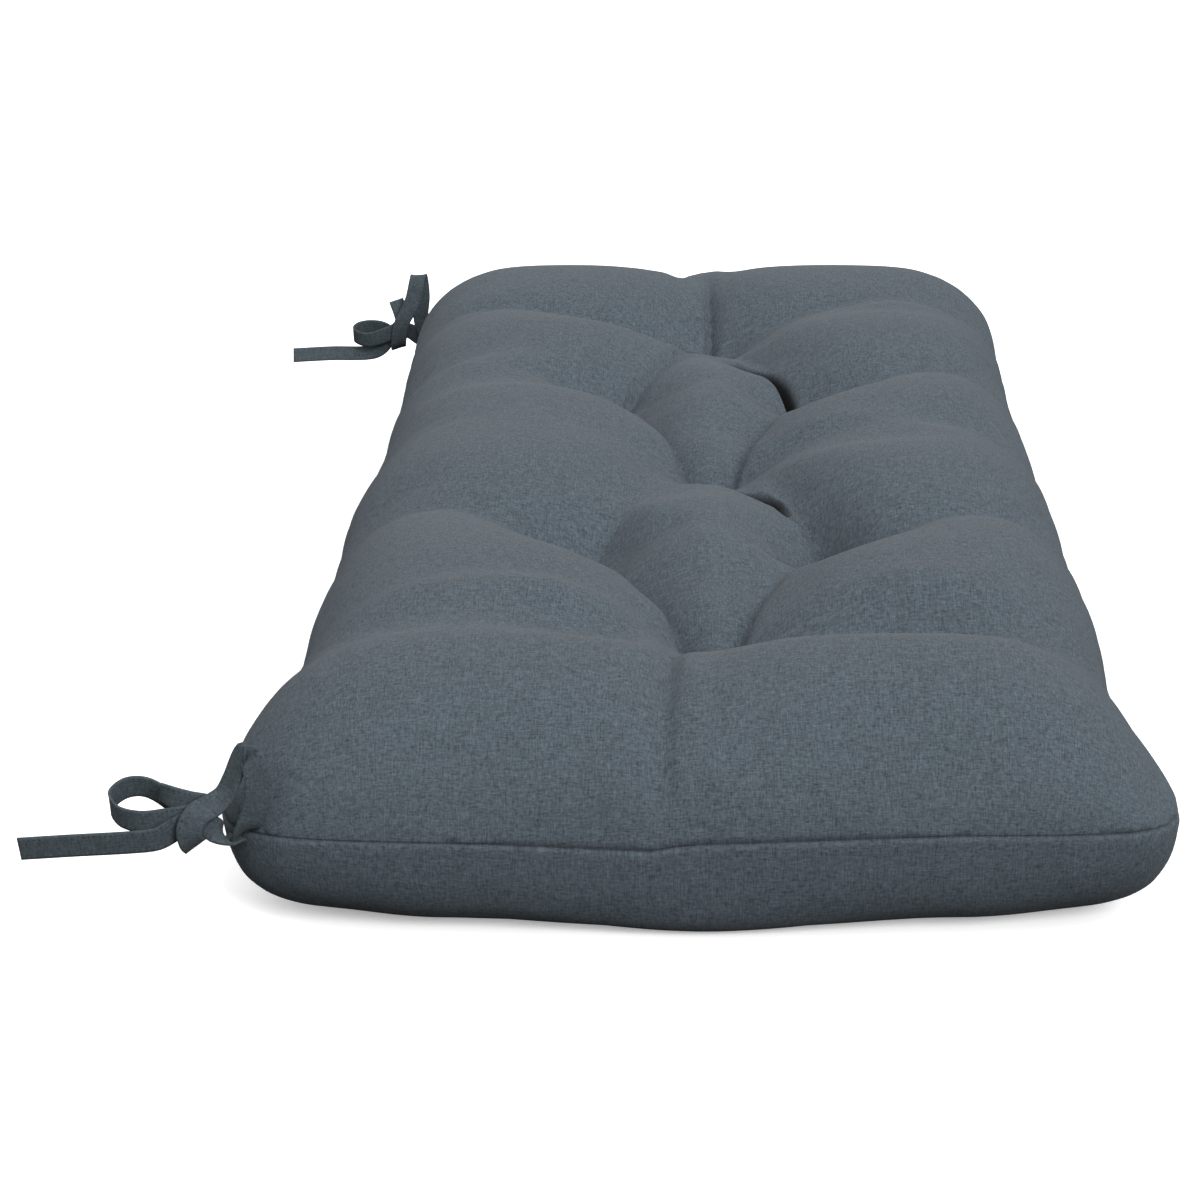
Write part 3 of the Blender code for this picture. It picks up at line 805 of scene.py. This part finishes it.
def map_panels(piece):
    """Write the flat places of both panels to the piece's UV map."""
    mesh = piece.data
    points = points_of(mesh)
    rise_top = points[:, 2] - SEAM_HEIGHT
    top = unroll(points[:, :2], rise_top, TOP_ROLL, CROWN_HEIGHT - SEAM_HEIGHT)
    under = unroll(points[:, :2], -rise_top, UNDER_ROLL, SEAM_HEIGHT) + UNDER_PANEL_PLACE
    is_top = centres_of(mesh)[:, 2] > SEAM_HEIGHT
    sizes = np.zeros(len(mesh.polygons), dtype=np.int32)
    mesh.polygons.foreach_get("loop_total", sizes)
    corners = np.zeros(len(mesh.loops), dtype=np.int32)
    mesh.loops.foreach_get("vertex_index", corners)
    loop_is_top = np.repeat(is_top, sizes)
    flat = np.where(loop_is_top[:, None], top[corners], under[corners])
    layer = mesh.uv_layers.new(name=CLOTH_MAP)
    layer.data.foreach_set("uv", flat.ravel())


map_panels(cushion)
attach(cushion, "root")
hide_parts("cushion")
print("cover mapped as", CLOTH_MAP, "in metres")

# %% [markdown]
# ## The tie straps
# Each strap is a strip of the same cloth, folded in on itself and stitched along both edges, 12 mm wide. One
# strap of each pair runs through the knot and out as a long tail; the other stands up in an arch, crosses in
# front as the knot, makes a bow loop and stops at a short end. Cloth physics could drape a strap, but it would
# not tie it, and a strap is stiff enough to hold these curves. So a fine grid is laid along the stations of its
# route, and each station says which way its width lies.

# %% Routes of the straps
# Places in millimetres from the spot on the seam where the pair of straps leaves it, then the width's direction.
Station = namedtuple("Station", "x y z across_x across_y across_z")
NEAR_TAIL = [
    Station(-0.4, 0.4, -1.0, 0.7, 0.7, 0.0),
    Station(-4.2, 4.0, -1.4, 0.7, 0.7, 0.0),
    Station(-7.6, 7.4, 2.4, 0.4, 0.5, 0.8),
    Station(-9.2, 13.4, 8.0, 0.0, 0.0, 1.0),
    Station(-10.2, 21.2, 9.0, 0.0, 0.0, 1.0),
    Station(-11.2, 28.2, 7.0, -0.2, 0.2, 1.0),
    Station(-13.0, 37.2, 2.5, -0.2, 0.1, 1.0),
    Station(-13.6, 50.8, 1.0, -0.2, 0.0, 1.0),
    Station(-13.6, 76.8, -0.5, -0.2, 0.0, 1.0),
    Station(-12.5, 102.8, -2.6, -0.2, 0.0, 1.0),
]

NEAR_BOW = [
    Station(-0.6, 0.6, 0.8, 0.5, 0.7, -0.4),
    Station(-5.0, -1.0, 2.4, 0.3, 0.7, -0.6),
    Station(-10.5, -6.6, 9.0, 0.0, 0.9, -0.3),
    Station(-12.6, -10.4, 20.0, -0.1, 1.0, 0.0),
    Station(-12.8, -11.4, 32.0, -0.1, 1.0, 0.1),
    Station(-11.6, -9.6, 41.0, 0.2, 0.9, 0.3),
    Station(-9.0, -5.6, 44.0, 0.6, 0.7, 0.1),
    Station(-7.4, -2.6, 40.0, 0.7, 0.7, 0.1),
    Station(-6.6, 1.6, 30.0, 0.7, 0.7, 0.1),
    Station(-7.0, 5.6, 22.0, 0.6, 0.7, 0.3),
    Station(-9.2, 11.0, 18.0, 0.3, 0.8, 0.6),
    Station(-13.0, 16.6, 15.8, 0.1, 0.9, 0.4),
    Station(-15.0, 20.4, 11.0, 0.0, 0.98, 0.2),
    Station(-15.4, 21.4, 6.0, 0.0, 0.98, -0.2),
    Station(-14.0, 20.6, 1.0, 0.0, 0.85, -0.5),
    Station(-9.4, 19.6, -2.2, 0.0, 0.78, -0.6),
    Station(-4.4, 21.0, -2.6, 0.0, 0.85, -0.4),
    Station(-1.0, 24.4, 0.0, 0.0, 0.95, 0.25),
    Station(3.2, 28.2, 6.4, 0.0, 0.4, 0.8),
    Station(6.6, 33.8, 14.6, -0.1, 0.2, 0.9),
    Station(9.4, 44.8, 20.4, -0.3, 0.0, 0.9),
    Station(8.0, 54.8, 20.4, -0.3, 0.0, 0.9),
    Station(1.4, 60.8, 16.2, -0.3, 0.0, 0.9),
    Station(-6.0, 55.8, 11.6, -0.3, 0.0, 0.9),
    Station(-9.4, 44.8, 9.8, -0.2, 0.0, 1.0),
    Station(-8.8, 32.8, 10.6, -0.1, 0.0, 1.0),
    Station(-8.2, 22.2, 12.0, 0.0, 0.0, 1.0),
    Station(-7.4, 15.0, 13.6, 0.0, 0.0, 1.0),
    Station(-5.0, 12.0, 14.6, 0.0, 0.1, 1.0),
    Station(-2.6, 15.0, 15.4, 0.0, 0.0, 1.0),
    Station(-2.8, 22.2, 16.8, 0.0, 0.0, 1.0),
    Station(-2.6, 29.2, 19.0, -0.1, 0.0, 1.0),
    Station(-0.2, 36.8, 21.6, -0.3, 0.1, 0.9),
]

FAR_TAIL = [
    Station(0.35, 0.35, -1.0, 0.7, -0.7, 0.0),
    Station(3.4, 5.0, -1.2, 0.7, -0.7, 0.0),
    Station(3.0, 10.0, 3.0, 0.5, -0.5, 0.6),
    Station(1.2, 17.0, 8.5, 0.1, -0.1, 1.0),
    Station(-0.4, 25.0, 9.5, 0.0, 0.0, 1.0),
    Station(-0.2, 32.5, 6.0, 0.1, 0.3, 1.0),
    Station(0.0, 40.5, -4.5, 0.3, 0.3, 1.0),
    Station(0.4, 52.0, -9.0, 0.6, 0.0, 0.8),
    Station(0.6, 80.0, -9.4, 0.6, 0.0, 0.8),
    Station(0.0, 111.0, -10.9, 0.6, 0.0, 0.8),
]

FAR_BOW = [
    Station(0.35, 0.35, 0.8, 0.7, -0.7, 0.0),
    Station(3.2, 4.6, 4.0, 0.5, -0.8, 0.0),
    Station(6.0, 8.6, 18.0, 0.3, -1.0, 0.1),
    Station(6.2, 7.0, 36.0, 0.1, -1.0, 0.15),
    Station(4.2, 8.0, 51.0, 0.1, -1.0, 0.1),
    Station(-0.4, 9.4, 53.6, 0.1, -1.0, 0.05),
    Station(-3.8, 11.0, 47.0, 0.1, -1.0, 0.2),
    Station(-5.2, 13.6, 36.0, 0.1, -1.0, 0.25),
    Station(-6.6, 17.4, 27.0, 0.0, -1.0, 0.3),
    Station(-7.6, 21.8, 19.0, 0.0, -1.0, 0.2),
    Station(-7.8, 24.2, 11.5, 0.0, -1.0, 0.0),
    Station(-6.2, 25.8, 0.0, 0.0, -0.95, 0.3),
    Station(-0.6, 26.4, -4.6, 0.0, -0.95, 0.3),
    Station(5.0, 27.4, -1.6, 0.0, -0.9, -0.4),
    Station(7.8, 32.0, 5.0, 0.3, -0.4, -0.8),
    Station(8.4, 40.0, 9.6, 0.3, -0.1, -0.9),
    Station(8.4, 50.0, 10.6, 0.3, 0.0, -0.9),
    Station(6.0, 58.5, 9.4, 0.3, 0.0, -0.9),
    Station(0.2, 62.0, 6.6, 0.3, 0.0, -0.9),
    Station(-5.6, 57.0, 4.2, 0.3, 0.0, -0.9),
    Station(-7.2, 48.0, 3.4, 0.2, 0.0, -1.0),
    Station(-6.0, 36.0, 7.0, 0.1, 0.0, -1.0),
    Station(-4.8, 27.0, 11.0, 0.0, -0.5, -0.8),
    Station(-4.2, 22.4, 17.0, 0.0, -0.9, -0.3),
    Station(-2.6, 23.6, 24.0, 0.1, -0.95, -0.2),
    Station(0.6, 27.6, 34.0, 0.2, -0.9, -0.35),
]

SEATS = {"near": (-0.54656, 0.22256, 0.052), "far": (0.54286, 0.21886, 0.052)}
ROUTES = {"tie_near_tail": NEAR_TAIL, "tie_near_bow": NEAR_BOW, "tie_far_tail": FAR_TAIL, "tie_far_bow": FAR_BOW}
print("strap stations:", {name: len(route) for name, route in ROUTES.items()})

# %% A strap along its route
STRAP_STEP = 1.6 * MM
STRAP_THICKNESS = 1.1 * MM
STRAP_LANES = 8


def smooth_route(stations):
    """Points of a curve through the stations, about a step apart, each with its width direction."""
    table = np.array([tuple(station) for station in stations])
    table[:, :3] *= MM
    knots = np.vstack([2 * table[0] - table[1], table, 2 * table[-1] - table[-2]])
    fine = []
    for before, here, there, after in zip(knots, knots[1:], knots[2:], knots[3:]):
        steps = max(2, round(np.linalg.norm((there - here)[:3]) / STRAP_STEP))
        for step in range(steps):
            t = step / steps
            leave = (there - before) / 2
            arrive = (after - here) / 2
            fine.append(
                here * (2 * t**3 - 3 * t**2 + 1)
                + leave * (t**3 - 2 * t**2 + t)
                + there * (3 * t**2 - 2 * t**3)
                + arrive * (t**3 - t**2)
            )
    fine.append(table[-1])
    fine = np.array(fine)
    tangents = np.gradient(fine[:, :3], axis=0)
    tangents /= np.linalg.norm(tangents, axis=1, keepdims=True)
    across = fine[:, 3:]
    across = across - tangents * np.sum(across * tangents, axis=1, keepdims=True)
    across /= np.linalg.norm(across, axis=1, keepdims=True)
    return fine[:, :3], across


def make_strap(node, stations, seat):
    """A folded and stitched strap in place of its plain solid."""
    route, across = smooth_route(stations)
    travelled = np.concatenate([[0], np.cumsum(np.linalg.norm(np.diff(route, axis=0), axis=1))])
    deselect_all()
    bpy.ops.mesh.primitive_grid_add(x_subdivisions=len(route) - 1, y_subdivisions=STRAP_LANES, size=2.0)
    strap = bpy.context.object
    strap.name = f"{node}_strap"
    mesh = strap.data
    flat = points_of(mesh)
    rows = np.rint((flat[:, 0] + 1) / 2 * (len(route) - 1)).astype(int)
    lanes = flat[:, 1]
    set_points(mesh, np.array(seat) + route[rows] + across[rows] * (lanes * STRAP_WIDTH / 2)[:, None])
    for layer in list(mesh.uv_layers):
        mesh.uv_layers.remove(layer)
    corners = np.zeros(len(mesh.loops), dtype=np.int32)
    mesh.loops.foreach_get("vertex_index", corners)
    layer = mesh.uv_layers.new(name=CLOTH_MAP)
    cloth_place = np.stack([travelled[rows], lanes * STRAP_WIDTH / 2], axis=1)
    layer.data.foreach_set("uv", cloth_place[corners].ravel())
    mesh.materials.append(strap_cloth)
    thick = strap.modifiers.new("Folded layers", "SOLIDIFY")
    thick.thickness = STRAP_THICKNESS
    thick.offset = 0.0
    apply_modifier(strap, "Folded layers")
    strap.data.shade_smooth()
    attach(strap, "root")
    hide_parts(node)
    print(f"{strap.name}: {travelled[-1] / MM:.0f} mm long, {len(strap.data.polygons)} faces")


for node, stations in ROUTES.items():
    make_strap(node, stations, SEATS[node.split("_")[1]])
